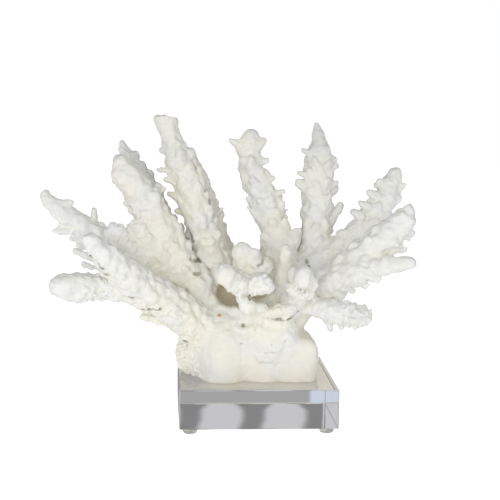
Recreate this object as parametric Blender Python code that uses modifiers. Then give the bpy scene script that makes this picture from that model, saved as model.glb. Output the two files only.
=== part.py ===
"""A white branching coral that stands, cut flat at its foot, on a clear acrylic block with four bumpers.

All sizes are in millimetres and turned into metres where the meshes are made. The coral's points are
measured from the middle of the block's top: x to the right, y to the back, and the height above the block.
"""

import math
import random

import bmesh
import bpy
from mathutils import Vector, noise

MM = 0.001
GAP = 0.3  # clearance left between pieces that touch

BLOCK_SIDE = 101.6
BLOCK_THICKNESS = 25.4
BLOCK_CHAMFER = 0.5
BUMPER_DIAMETER = 9.5
BUMPER_HEIGHT = 3.8
BUMPER_INSET = 7.0  # from the block's sides to a bumper's middle
BUMPER_RIM = 1.2  # height of the straight band under the glued face
BUMPER_TAPER = (0.5, 1.0)  # how far the lower band steps in, and the height where it does
BUMPER_FOOT_INSET = 1.4  # from the rim to the edge of the flat underside
BUMPER_STEPS = 16
BLOCK_TOP = BUMPER_HEIGHT + BLOCK_THICKNESS

TUBE_SIDES = 8
RING_SPACING = 8.0  # along a branch, one row of scales to a ring
SCALE_HEIGHT_SHARE = 0.30  # of the branch's radius
SCALE_HEIGHT_MOST = 3.2
SCALE_LEAN_SHARE = 0.40  # of the ring spacing, towards the tip
SCALE_SIZES = (0.55, 1.3)  # smallest and largest, as a share of the usual scale
HOLLOW_SHARE = 0.06  # of the branch's radius, the dip between two scales
SCALE_FREE = 3.2  # a branch stays plain this close to one that grows from it
TWIG_SIDES = 6
DOME_ANGLES = (40, 74)  # of the rings that round off a branch's tip
SAMPLES_PER_STEP = 4  # of a smooth path, before it is cut into equal steps
CUTTER_GAP = 0.6  # how far a cutter's points move out, so that its faces clear the gap
FACES_KEPT = 0.64  # of a branch's faces, once the slivers along its cuts are gone
WELD = 0.001  # points this close are one
SHARP_ANGLE = 35  # degrees, on the turned bumpers

# Each branch: its points from root to tip as x, y, height and radius. A flat tip is broken off.
BRANCHES = {
    "branch_left_front": [(-24, -4, 24, 14), (-40, -12, 36, 13), (-59, -26, 53, 11.4), (-83, -45, 72, 9.9),
                          (-102, -60, 92, 6.7), (-106, -63, 97, 4.9)],
    "branch_left_tall": [(-22, 4, 28, 14), (-33, 2, 45, 12.2), (-49, -3, 73, 10.5), (-64, -8, 99, 9.8),
                         (-78, -12, 124, 9.1), (-85, -13, 133, 8.2), (-88, -13, 140, 5.6)],
    "branch_centre_tall": [(-16, 10, 28, 12), (-22, 12, 50, 10.4), (-31, 12, 80, 10.2), (-42, 11, 118, 9.2),
                           (-50, 9, 139, 8), (-56, 8, 155, 5.8), (-59, 8, 163, 6.2), (-59, 8, 170, 7.6)],
    "branch_right_front": [(12, -2, 36, 13), (30, -7, 50, 11.2), (46, -14, 62, 10.3), (72, -25, 85, 10.2),
                           (91, -32, 106, 7.6), (96, -33, 113, 5)],
    "branch_right_tall": [(16, 8, 34, 12), (22, 12, 58, 10.2), (15, 17, 92, 10), (4, 21, 120, 8.8),
                          (-4, 24, 146, 6.8), (-2, 25, 158, 4.2)],
    "branch_right_pointed": [(24, 8, 36, 12), (34, 14, 58, 10), (42, 22, 92, 9.1), (44, 29, 126, 9),
                             (46, 32, 149, 6.6), (43, 34, 165, 1.6)],
    "branch_right_upper": [(18, 2, 42, 12), (38, 9, 69, 9.4), (64, 14, 87, 8.4), (87, 19, 111, 8.1),
                           (92, 21, 124, 6.2), (96, 22, 132, 5.4)],
    "branch_left_outer": [(-34, 4, 36, 11), (-52, 3, 50, 10), (-76, 0, 69, 8.2), (-99, -2, 88, 7.9),
                          (-122, -5, 105, 6.6), (-132, -6, 112, 5.4), (-138, -6, 120, 3.4)],
    "branch_left_low": [(-60, -26, 52, 9.5), (-84, -36, 62, 8.2), (-98, -42, 64, 7.6), (-120, -52, 66, 8),
                        (-126, -54, 67, 6.2)],
    "branch_left_short_low": [(-60, -5, 58, 8), (-72, -12, 72, 7.4), (-84, -18, 86, 7.6), (-92, -22, 96, 6.6)],
    "branch_left_short_high": [(-50, -4, 64, 8), (-66, -12, 83, 7.4), (-78, -18, 98, 6)],
    "branch_left_tall_rear": [(-34, 8, 46, 10), (-52, 16, 80, 8), (-71, 20, 118, 7.4), (-85, 22, 143, 5.2),
                              (-89, 22, 152, 2)],
    "branch_centre_tall_rear": [(-16, 16, 42, 10), (-22, 25, 70, 8), (-33, 30, 112, 7.4), (-44, 32, 142, 5)],
    "branch_right_side": [(44, -16, 60, 8), (60, -29, 71, 7), (72, -35, 76, 6.6), (94, -43, 81, 4.8)],
    "branch_right_low": [(14, -8, 44, 8.5), (34, -20, 49, 6.6), (49, -30, 47, 7.3), (66, -41, 45, 6)],
    "branch_front_top": [(-1, -12, 42, 11), (-3, -26, 58, 9.6), (-8, -34, 71, 8.4), (-12, -39, 84, 7.6)],
    "branch_front_left": [(-5, -30, 58, 8), (-15, -45, 68, 7.2), (-22, -54, 72, 6.1)],
    "branch_front_right": [(-1, -30, 58, 8.5), (-1, -52, 67, 7.4), (-1, -64, 70, 6.7)],
    "branch_front_upright": [(14, -12, 44, 8), (16, -24, 66, 6), (16, -32, 83, 4.4)],
    "branch_front_end": [(18, -8, 44, 9.5), (25, -32, 62, 7.8), (26, -56, 73, 6.7)],
    "branch_rear_left": [(-20, 16, 36, 11), (-40, 36, 62, 9), (-58, 54, 90, 8), (-74, 64, 114, 4.6)],
    "branch_rear_left_low": [(-26, 14, 30, 10), (-56, 34, 52, 8.4), (-82, 48, 66, 7.4), (-103, 58, 79, 4.8)],
    "branch_rear_centre": [(-8, 20, 38, 11), (-18, 46, 68, 8.6), (-25, 62, 90, 7.6), (-30, 70, 105, 4.6)],
    "branch_rear_centre_low": [(2, 18, 32, 10), (5, 50, 52, 8.4), (8, 70, 62, 5.6)],
    "branch_rear_middle": [(10, 16, 42, 10), (15, 36, 74, 8.2), (15, 46, 98, 6.8), (13, 50, 113, 4)],
    "branch_rear_right": [(16, 18, 38, 11), (32, 46, 66, 8.6), (42, 62, 84, 7.4), (48, 70, 98, 4.6)],
    "branch_rear_right_low": [(22, 12, 34, 10), (50, 34, 52, 8.2), (72, 46, 68, 7), (87, 52, 81, 4.6)],
}
FLAT_TIPS = {"branch_centre_tall"}

# Side twigs and knobs that stand out from a branch: root, tip, root radius and tip radius.
TWIGS = {
    "branch_left_outer": [
        ((-105, -2, 91), (-107, -2, 106), 3.2, 1.7),
        ((-122, -5, 102), (-132, -8, 96), 3.4, 2.1),
        ((-112, -6, 98), (-121, -12, 91), 4, 1.8),
        ((-106, -6, 93), (-116, -12, 87), 3.8, 1.8),
    ],
    "branch_left_front": [
        ((-86, -36, 74), (-116, -34, 86), 4, 1.4),
        ((-80, -38, 70), (-110, -38, 78), 3.4, 1.4),
        ((-48, -18, 40), (-75, -22, 42), 5.2, 2.6),
    ],
    "branch_left_tall": [
        ((-84, -12, 129), (-94, -13, 129), 4, 2.4),
        ((-70, -8, 118), (-64, -6, 126), 4.4, 2),
    ],
    "branch_left_tall_rear": [((-84, 21, 139), (-80, 21, 144), 3.4, 1.7)],
    "branch_centre_tall": [
        ((-54, 9, 148), (-62, 8, 148), 3.6, 2.2),
        ((-51, 9, 134), (-65, 7, 135), 3.2, 1.8),
        ((-42, 9, 111), (-52, 8, 113), 3.4, 1.2),
    ],
    "branch_centre_tall_rear": [((-30, 24, 100), (-22, 20, 108), 3.4, 1.3)],
    "branch_right_tall": [
        ((-3, 24, 146), (-16, 24, 154), 5.4, 1.4),
        ((-1, 24, 147), (6, 24, 154), 4.4, 1.4),
        ((5, 18, 104), (-4, 17, 109), 4, 1.4),
        ((9, 22, 113), (18, 23, 117), 4, 2.2),
        ((14, 21, 102), (23, 23, 108), 4, 1.8),
    ],
    "branch_right_pointed": [
        ((47, 26, 92), (60, 29, 110), 5.4, 2.8),
        ((42, 29, 122), (31, 28, 127), 3.6, 1.2),
        ((47, 29, 114), (57, 30, 122), 4.4, 2.2),
        ((46, 24, 86), (55, 26, 93), 4.2, 1.6),
    ],
    "branch_right_upper": [
        ((90, 21, 122), (81, 20, 127), 3.6, 1.5),
        ((92, 21, 117), (102, 22, 125), 3.6, 1.5),
        ((82, 19, 109), (75, 18, 117), 3.6, 1.5),
    ],
    "branch_right_front": [
        ((86, -30, 99), (98, -30, 98), 4.4, 2),
        ((80, -29, 92), (95, -30, 88), 4.4, 1.6),
        ((54, -20, 60), (49, -22, 38), 5.6, 1.6),
    ],
    "branch_front_top": [((-6, -36, 72), (1, -41, 79), 5.4, 4.6)],
}

# The grown-together foot: each lump's middle as x, y and height, and its half sizes.
FOOT_LUMPS = [
    ((-25, -12, 8), (13, 23, 25)),
    ((-6, -6, 10), (22, 22, 24)),
    ((8, -10, 5), (12, 22, 14)),
    ((27, -11, 8), (15, 22, 17)),
    ((-2, 14, 14), (34, 22, 26)),
    ((-32, 2, 14), (20, 18, 21)),
    ((-30, -2, 32), (19, 18, 18)),
    ((-2, -2, 34), (27, 22, 28)),
    ((13, -4, 34), (19, 19, 24)),
    ((6, -20, 22), (15, 12, 26)),
    ((12, -27, 45), (12, 8, 5)),
    ((7, -28, 33), (11, 6, 4.5)),
    ((7, -29, 23), (10, 5, 4)),
    ((23, -24, 52), (8, 9, 6)),
]
FOOT_VOXEL = 1.6
FOOT_SMOOTHING = 6
FOOT_FACES = 950
FOOT_GRAIN = 4.5  # the grain's spacing
FOOT_ROUGHNESS = 1.8  # the grain's depth on the open foot
LOBE_ROUGHNESS = 4.4  # the grain's depth on the granular lobe at the left
LOBE_EDGE = -24  # the lobe lies left of this x
LOBE_HEIGHT = 26
FLOOR_SLAB = (400, 60)  # side and depth of the slab that cuts the foot flat

# The shaded hollow under the front twigs: middle and half sizes.
POCKET = ((-15, -20, 56), (9, 20, 7))

COLOURS = {
    "coral": ((0.84, 0.83, 0.78, 1), 0.85),
    "foot": ((0.87, 0.85, 0.79, 1), 0.9),
    "acrylic": ((0.95, 0.96, 0.97, 1), 0.03),
    "bumper": ((0.88, 0.88, 0.87, 1), 0.25),
}


def clear_scene():
    for obj in list(bpy.data.objects):
        bpy.data.objects.remove(obj, do_unlink=True)


def make_collection(name):
    collection = bpy.data.collections.new(name)
    bpy.context.scene.collection.children.link(collection)
    return collection


def make_material(name, clear=False):
    colour, roughness = COLOURS[name]
    material = bpy.data.materials.new(name)
    material.use_nodes = True
    material.diffuse_color = colour
    shader = material.node_tree.nodes["Principled BSDF"]
    shader.inputs["Base Color"].default_value = colour
    shader.inputs["Roughness"].default_value = roughness
    shader.inputs["Metallic"].default_value = 0
    if clear:
        shader.inputs["Transmission Weight"].default_value = 1
        shader.inputs["IOR"].default_value = 1.49
    return material


def to_world(point):
    """A point measured from the middle of the block's top, in metres."""
    x, y, height = point
    return Vector((x, y, height + BLOCK_TOP)) * MM


def smooth_path(points, spacing):
    """Points with radii every spacing or so, on a smooth curve through the given ones."""
    ends = [points[0]] + list(points) + [points[-1]]
    fine = []
    for before, start, end, after in zip(ends, ends[1:], ends[2:], ends[3:]):
        p = [Vector(row) for row in (before, start, end, after)]
        steps = max(2, round(SAMPLES_PER_STEP * (p[2] - p[1]).length / spacing))
        for step in range(steps):
            t = step / steps
            fine.append(
                0.5 * (2 * p[1] + (p[2] - p[0]) * t
                       + (2 * p[0] - 5 * p[1] + 4 * p[2] - p[3]) * t * t
                       + (3 * p[1] - p[0] - 3 * p[2] + p[3]) * t * t * t)
            )
    fine.append(Vector(points[-1]))
    lengths = [0.0]
    for a, b in zip(fine, fine[1:]):
        lengths.append(lengths[-1] + (b.xyz - a.xyz).length)
    count = max(3, round(lengths[-1] / spacing))
    path = []
    index = 0
    for step in range(count + 1):
        wanted = lengths[-1] * step / count
        while index < len(lengths) - 2 and lengths[index + 1] < wanted:
            index += 1
        share = (wanted - lengths[index]) / (lengths[index + 1] - lengths[index])
        path.append(fine[index].lerp(fine[index + 1], share))
    return path


def with_round_tip(path):
    """The path with a dome of its last radius added beyond its end."""
    last = path[-1]
    forward = (last.xyz - path[-2].xyz).normalized()
    dome = []
    for angle in DOME_ANGLES:
        reach = last.w * math.sin(math.radians(angle))
        radius = last.w * math.cos(math.radians(angle))
        dome.append(Vector((*(last.xyz + forward * reach), radius)))
    return path + dome


def link(obj):
    bpy.context.scene.collection.objects.link(obj)
    return obj


def evaluated_mesh(obj):
    bpy.context.view_layer.update()
    graph = bpy.context.evaluated_depsgraph_get()
    return bpy.data.meshes.new_from_object(obj.evaluated_get(graph))


def apply_modifiers(obj):
    mesh = evaluated_mesh(obj)
    obj.modifiers.clear()
    obj.data = mesh
    return obj


def tube_mesh(name, path, sides):
    """The mesh of a curve object that follows the path, still with loose caps."""
    curve = bpy.data.curves.new(name, "CURVE")
    curve.dimensions = "3D"
    curve.bevel_depth = MM
    curve.bevel_resolution = (sides - 4) // 2
    curve.use_fill_caps = True
    spline = curve.splines.new("POLY")
    spline.points.add(len(path) - 1)
    for point, target in zip(spline.points, path):
        point.co = (*to_world(target.xyz), 1)
        point.radius = target.w
    holder = link(bpy.data.objects.new(name, curve))
    mesh = evaluated_mesh(holder)
    bpy.data.objects.remove(holder)
    return mesh


def near_another(point, others):
    """Whether a point of one branch lies in the plain zone round one of the others."""
    return any((point - other.xyz).length < other.w + SCALE_FREE for other in others)


def raise_scales(mesh, path, sides, seed, others):
    """Pushes every other point of each ring out and towards the tip, staggered from ring to ring.

    The mesh holds its two loose caps first, then the rings from root to tip.
    """
    draw = random.Random(seed)
    top = Vector((0, 0, BLOCK_TOP))
    for ring in range(1, len(path) - 2):
        middle = to_world(path[ring].xyz)
        forward = (path[ring + 1].xyz - path[ring - 1].xyz).normalized()
        for side in range(sides):
            size = draw.uniform(*SCALE_SIZES)
            vertex = mesh.vertices[(ring + 2) * sides + side]
            if near_another(vertex.co / MM - top, others):
                continue
            out = (vertex.co - middle).normalized()
            if (ring + side) % 2:
                vertex.co -= out * path[ring].w * HOLLOW_SHARE * size * MM
                continue
            height = min(path[ring].w * SCALE_HEIGHT_SHARE, SCALE_HEIGHT_MOST) * size
            vertex.co += out * height * MM
            vertex.co += forward * RING_SPACING * SCALE_LEAN_SHARE * size * MM


def close_and_triangulate(mesh):
    shape = bmesh.new()
    shape.from_mesh(mesh)
    bmesh.ops.remove_doubles(shape, verts=shape.verts, dist=WELD * MM)
    bmesh.ops.triangulate(shape, faces=shape.faces)
    bmesh.ops.recalc_face_normals(shape, faces=shape.faces)
    shape.to_mesh(mesh)
    shape.free()


def make_tube(name, path, sides, seed=None, others=()):
    mesh = tube_mesh(name, path, sides)
    if seed is not None:
        raise_scales(mesh, path, sides, seed, others)
    close_and_triangulate(mesh)
    return link(bpy.data.objects.new(name, mesh))


def combine(target, other, operation):
    """Applies a Boolean of the target with the other object and leaves the target closed."""
    modifier = target.modifiers.new(operation.lower(), "BOOLEAN")
    modifier.operation = operation
    modifier.solver = "EXACT"
    modifier.object = other
    apply_modifiers(target)
    close_and_triangulate(target.data)


def keep_largest_island(obj):
    """Drops the loose bits that a cut leaves on the far side of a parent branch."""
    shape = bmesh.new()
    shape.from_mesh(obj.data)
    unseen = set(shape.verts)
    islands = []
    while unseen:
        front = [unseen.pop()]
        island = set(front)
        while front:
            for edge in front.pop().link_edges:
                for vertex in edge.verts:
                    if vertex in unseen:
                        unseen.remove(vertex)
                        island.add(vertex)
                        front.append(vertex)
        islands.append(island)
    islands.sort(key=len)
    for island in islands[:-1]:
        bmesh.ops.delete(shape, geom=list(island), context="VERTS")
    shape.to_mesh(obj.data)
    shape.free()


def branch_path(name):
    path = smooth_path(BRANCHES[name], RING_SPACING)
    return path if name in FLAT_TIPS else with_round_tip(path)


def drop_slivers(obj):
    """Collapses the thinnest faces, which the cuts leave along their edges."""
    decimate = obj.modifiers.new("decimate", "DECIMATE")
    decimate.ratio = FACES_KEPT
    apply_modifiers(obj)


def add_twigs(branch, name):
    for root, tip, root_radius, tip_radius in TWIGS.get(name, []):
        path = [Vector((*root, root_radius)), Vector((*tip, tip_radius))]
        twig = make_tube(name + "_twig", path, TWIG_SIDES)
        combine(branch, twig, "UNION")
        bpy.data.objects.remove(twig)


def make_branch(name, seed):
    """One branch with its scales and its own twigs, all one body."""
    later = list(BRANCHES)[seed + 1:]
    growing_from_it = [point for other in later for point in branch_path(other)]
    branch = make_tube(name, branch_path(name), TUBE_SIDES, seed, growing_from_it)
    add_twigs(branch, name)
    return branch


def make_lumps(name, lumps):
    """Ellipsoids in one mesh, each from its middle and half sizes."""
    shape = bmesh.new()
    for middle, half_sizes in lumps:
        made = bmesh.ops.create_icosphere(shape, subdivisions=3, radius=1)
        for vertex in made["verts"]:
            vertex.co = to_world(Vector(middle) + vertex.co * Vector(half_sizes))
    mesh = bpy.data.meshes.new(name)
    shape.to_mesh(mesh)
    shape.free()
    return link(bpy.data.objects.new(name, mesh))


def roughen_foot(mesh):
    """Grain on the foot, coarser on the granular lobe at its left."""
    for vertex in mesh.vertices:
        place = vertex.co / MM
        on_lobe = place.x < LOBE_EDGE and place.z < BLOCK_TOP + LOBE_HEIGHT
        depth = LOBE_ROUGHNESS if on_lobe else FOOT_ROUGHNESS
        vertex.co += vertex.normal * noise.noise(place / FOOT_GRAIN) * depth * MM


def make_box(name, size, top):
    """A box of the given width, depth and height, its top at a height above the block."""
    bpy.ops.mesh.primitive_cube_add(size=1)
    box = bpy.context.object
    box.name = name
    width, depth, height = size
    for vertex in box.data.vertices:
        x, y, z = vertex.co
        vertex.co = to_world((x * width, y * depth, top + (z - 0.5) * height))
    return box


def make_foot():
    """The mass that the branches rise from, cut flat where it stands on the block."""
    foot = make_lumps("coral_foot", FOOT_LUMPS)
    remesh = foot.modifiers.new("remesh", "REMESH")
    remesh.mode = "VOXEL"
    remesh.voxel_size = FOOT_VOXEL * MM
    smooth = foot.modifiers.new("smooth", "SMOOTH")
    smooth.iterations = FOOT_SMOOTHING
    apply_modifiers(foot)
    decimate = foot.modifiers.new("decimate", "DECIMATE")
    decimate.ratio = FOOT_FACES / (2 * len(foot.data.polygons))
    apply_modifiers(foot)
    roughen_foot(foot.data)
    close_and_triangulate(foot.data)
    pocket = make_lumps("pocket", [POCKET])
    side, depth = FLOOR_SLAB
    below = make_box("below", (side, side, depth), GAP)
    for cutter in (pocket, below):
        combine(foot, cutter, "DIFFERENCE")
        bpy.data.objects.remove(cutter)
    keep_largest_island(foot)
    return foot


def make_cutter(obj):
    """The same mesh with every point moved out, which the neighbours are cut back to."""
    mesh = obj.data.copy()
    outward = [vertex.normal.copy() for vertex in mesh.vertices]
    for vertex, normal in zip(mesh.vertices, outward):
        vertex.co += normal * CUTTER_GAP * MM
    return link(bpy.data.objects.new(obj.name + "_cutter", mesh))


def boxes_meet(first, second):
    a = [first.matrix_world @ Vector(corner) for corner in first.bound_box]
    b = [second.matrix_world @ Vector(corner) for corner in second.bound_box]
    for axis in range(3):
        if max(p[axis] for p in a) < min(p[axis] for p in b):
            return False
        if max(p[axis] for p in b) < min(p[axis] for p in a):
            return False
    return True


def make_coral():
    """The foot and its branches, each later piece cut back to the surface of those before it."""
    foot = make_foot()
    pieces = [foot]
    cutters = [make_cutter(foot)]
    for seed, name in enumerate(BRANCHES):
        branch = make_branch(name, seed)
        own_cutter = make_cutter(branch)
        bpy.context.view_layer.update()
        for cutter in cutters:
            if boxes_meet(branch, cutter):
                combine(branch, cutter, "DIFFERENCE")
        keep_largest_island(branch)
        drop_slivers(branch)
        pieces.append(branch)
        cutters.append(own_cutter)
    for cutter in cutters:
        bpy.data.objects.remove(cutter)
    return pieces


def make_block():
    block = make_box("acrylic_block", (BLOCK_SIDE, BLOCK_SIDE, BLOCK_THICKNESS), 0)
    bevel = block.modifiers.new("polished edge", "BEVEL")
    bevel.width = BLOCK_CHAMFER * MM
    bevel.segments = 2
    return block


def make_bumper(name, x, y):
    """A turned bumper: flat where it stands, with a rounded rim and a wider glued face."""
    radius = BUMPER_DIAMETER / 2
    top = BUMPER_HEIGHT - GAP
    step_in, step_height = BUMPER_TAPER
    profile = [
        (0, top),
        (radius, top),
        (radius, top - BUMPER_RIM),
        (radius - step_in, step_height),
        (radius - BUMPER_FOOT_INSET, 0),
        (0, 0),
    ]
    mesh = bpy.data.meshes.new(name)
    points = [(r * MM, 0, z * MM) for r, z in profile]
    mesh.from_pydata(points, [(i, i + 1) for i in range(len(points) - 1)], [])
    bumper = link(bpy.data.objects.new(name, mesh))
    bumper.location = (x * MM, y * MM, 0)
    screw = bumper.modifiers.new("turn", "SCREW")
    screw.steps = BUMPER_STEPS
    screw.render_steps = BUMPER_STEPS
    screw.use_merge_vertices = True
    screw.merge_threshold = WELD * MM
    return bumper


def make_bumpers():
    reach = BLOCK_SIDE / 2 - BUMPER_INSET
    places = {"front_left": (-1, -1), "front_right": (1, -1), "rear_left": (-1, 1), "rear_right": (1, 1)}
    return [make_bumper("bumper_" + name, x * reach, y * reach) for name, (x, y) in places.items()]


def file_under(objects, collection, material):
    for obj in objects:
        for old in list(obj.users_collection):
            old.objects.unlink(obj)
        collection.objects.link(obj)
        obj.data.materials.clear()
        obj.data.materials.append(material)


def centre_on_floor(objects):
    """Parents everything to an empty that brings the middle of the footprint to the origin."""
    bpy.context.view_layer.update()
    corners = [obj.matrix_world @ Vector(corner) for obj in objects for corner in obj.bound_box]
    middle = [(max(c[axis] for c in corners) + min(c[axis] for c in corners)) / 2 for axis in (0, 1)]
    holder = link(bpy.data.objects.new("coral_on_stand", None))
    holder.location = (-middle[0], -middle[1], 0)
    for obj in objects:
        obj.parent = holder


def main():
    clear_scene()
    parts = make_collection("branching_coral")
    coral = make_coral()
    block = make_block()
    bumpers = make_bumpers()
    file_under(coral[:1], parts, make_material("foot"))
    file_under(coral[1:], parts, make_material("coral"))
    file_under([block], parts, make_material("acrylic", clear=True))
    file_under(bumpers, parts, make_material("bumper", clear=True))
    for obj in bumpers:
        obj.data.shade_smooth()
        obj.data.set_sharp_from_angle(angle=math.radians(SHARP_ANGLE))
    centre_on_floor(coral + [block] + bumpers)


main()
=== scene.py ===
"""The looks of the white branching coral on its clear acrylic block.

The coral is one distance field: its branches and foot blend where they meet, small scales, knobs and grains
grow from them, and each piece is the part of that field which is nearest to its own solid.
Sizes are in millimetres from the middle of the block's top, until a mesh is made.
"""

import math
from itertools import pairwise, product

import bpy
import numpy as np
from mathutils import Matrix, Vector

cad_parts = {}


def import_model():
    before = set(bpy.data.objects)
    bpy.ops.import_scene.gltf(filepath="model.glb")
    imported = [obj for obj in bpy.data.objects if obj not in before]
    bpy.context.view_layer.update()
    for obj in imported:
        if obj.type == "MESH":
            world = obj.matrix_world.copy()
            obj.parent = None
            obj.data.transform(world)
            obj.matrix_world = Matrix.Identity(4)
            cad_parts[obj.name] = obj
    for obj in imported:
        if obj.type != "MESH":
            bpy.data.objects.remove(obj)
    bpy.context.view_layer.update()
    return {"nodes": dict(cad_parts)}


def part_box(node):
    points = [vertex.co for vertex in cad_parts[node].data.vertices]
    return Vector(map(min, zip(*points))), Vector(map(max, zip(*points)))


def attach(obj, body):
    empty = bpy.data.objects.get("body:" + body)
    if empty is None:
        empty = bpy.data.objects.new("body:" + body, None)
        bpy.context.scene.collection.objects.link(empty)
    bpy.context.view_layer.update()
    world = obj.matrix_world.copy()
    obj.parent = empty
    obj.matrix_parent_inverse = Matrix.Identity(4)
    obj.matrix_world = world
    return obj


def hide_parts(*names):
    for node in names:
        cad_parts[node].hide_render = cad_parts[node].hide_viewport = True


MM = 0.001
VOXEL = 0.86  # of the distance field
FAR = 12.0  # the field's value away from everything
FIELD_LOW, FIELD_HIGH = (-158, -86, -6), (126, 90, 182)  # its corners
GAP = 0.3  # between the coral's flat foot and the block
SEED = 7

# The hollows dug under the front twigs, which also get a tan painted shade: middle and half sizes.
POCKETS = [((-17, -11, 56), (9.8, 18, 8.2)), ((2, -38, 59.5), (9.5, 12, 4.2))]
# How much of the tan painted shade each hollow gets.
POCKET_SHADES = [1.0, 0.6]  # how brown each is

# Each branch, named without branch_: points from root to tip as x, y, height and radius.
BRANCHES = {
    "left_front": [(-24, -4, 24, 14), (-40, -12, 36, 13), (-59, -26, 53, 11.4), (-83, -45, 72, 9.9),
                   (-102, -60, 92, 6.7), (-106, -63, 97, 4.9)],
    "left_tall": [(-22, 4, 28, 14), (-33, 2, 45, 12.2), (-49, -3, 73, 10.5), (-64, -8, 99, 9.8),
                  (-78, -12, 124, 9.1), (-85, -13, 133, 8.2), (-88, -13, 140, 5.6)],
    "centre_tall": [(-16, 10, 28, 12), (-22, 12, 50, 10.4), (-31, 12, 80, 10.2), (-42, 11, 118, 9.2),
                    (-50, 9, 139, 8), (-56, 8, 155, 5.8), (-59, 8, 163, 6.2), (-59, 8, 170, 7.6)],
    "right_front": [(12, -2, 36, 13), (30, -7, 50, 11.2), (46, -14, 62, 10.3), (72, -25, 85, 10.2),
                    (91, -32, 106, 7.6), (96, -33, 113, 5)],
    "right_tall": [(16, 8, 34, 12), (22, 12, 58, 10.2), (15, 17, 92, 10), (4, 21, 120, 8.8),
                   (-4, 24, 146, 6.8), (-2, 25, 158, 4.2)],
    "right_pointed": [(24, 8, 36, 12), (34, 14, 58, 10), (42, 22, 92, 9.1), (44, 29, 126, 9),
                      (46, 32, 149, 6.6), (43, 34, 165, 1.6)],
    "right_upper": [(18, 2, 42, 12), (38, 9, 69, 9.4), (64, 14, 87, 8.4), (87, 19, 111, 8.1),
                    (92, 21, 124, 6.2), (96, 22, 132, 5.4)],
    "left_outer": [(-34, 4, 36, 11), (-52, 3, 50, 10), (-76, 0, 69, 8.2), (-99, -2, 88, 7.9),
                   (-122, -5, 105, 6.4), (-132, -6, 111.5, 5), (-137.5, -6, 119, 2.9)],
    "left_low": [(-60, -26, 52, 9.5), (-84, -36, 62, 8.2), (-98, -42, 64, 7.6), (-120, -52, 66, 8),
                 (-126, -54, 67, 6.2)],
    "left_short_low": [(-60, -5, 58, 8), (-72, -12, 72, 7.4), (-84, -18, 86, 7.6), (-92, -22, 96, 6.6)],
    "left_short_high": [(-50, -4, 64, 8), (-66, -12, 83, 7.4), (-78, -18, 98, 6)],
    "left_tall_rear": [(-34, 8, 46, 10), (-52, 16, 80, 8), (-71, 20, 118, 7.4), (-85, 22, 143, 5.2),
                       (-89, 22, 152, 2)],
    "centre_tall_rear": [(-16, 16, 42, 10), (-22, 25, 70, 8), (-33, 30, 112, 7.4), (-44, 32, 142, 5)],
    "right_side": [(44, -16, 60, 8), (60, -29, 71, 7), (72, -35, 76, 6.6), (94, -43, 81, 4.8)],
    "right_low": [(14, -8, 44, 8.5), (34, -20, 49, 6.6), (49, -30, 47, 7.3), (66, -41, 45, 6)],
    "front_top": [(-1, -12, 42, 11), (-3, -26, 58, 9.6), (-8, -34, 71, 7.4), (-11.5, -39, 85, 6)],
    "front_left": [(-5, -30, 60, 7), (-15, -45, 69, 6.6), (-22, -54, 73.5, 5.4)],
    "front_right": [(-1, -30, 62, 7.5), (-1, -52, 69.5, 6.2), (-1, -64, 70.5, 5.6)],
    "front_upright": [(14, -12, 44, 8), (16, -24, 66, 6), (16, -32, 83, 4.4)],
    "front_end": [(18, -8, 44, 9.5), (25, -32, 62, 7.8), (26, -56, 73, 6.7)],
    "rear_left": [(-20, 16, 36, 11), (-40, 36, 62, 9), (-58, 54, 90, 8), (-74, 64, 114, 4.6)],
    "rear_left_low": [(-26, 14, 30, 10), (-56, 34, 52, 8.4), (-82, 48, 66, 7.4), (-103, 58, 79, 4.8)],
    "rear_centre": [(-8, 20, 38, 11), (-18, 46, 68, 8.6), (-25, 62, 90, 7.6), (-30, 70, 105, 4.6)],
    "rear_centre_low": [(2, 18, 32, 10), (5, 50, 52, 8.4), (8, 70, 62, 5.6)],
    "rear_middle": [(10, 16, 42, 10), (15, 36, 74, 8.2), (15, 46, 98, 6.8), (13, 50, 113, 4)],
    "rear_right": [(16, 18, 38, 11), (32, 46, 66, 8.6), (42, 62, 84, 7.4), (48, 70, 98, 4.6)],
    "rear_right_low": [(22, 12, 34, 10), (50, 34, 52, 8.2), (72, 46, 68, 7), (87, 52, 81, 4.6)],
}
FLAT_TIPS = {"centre_tall"}  # broken off

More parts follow.
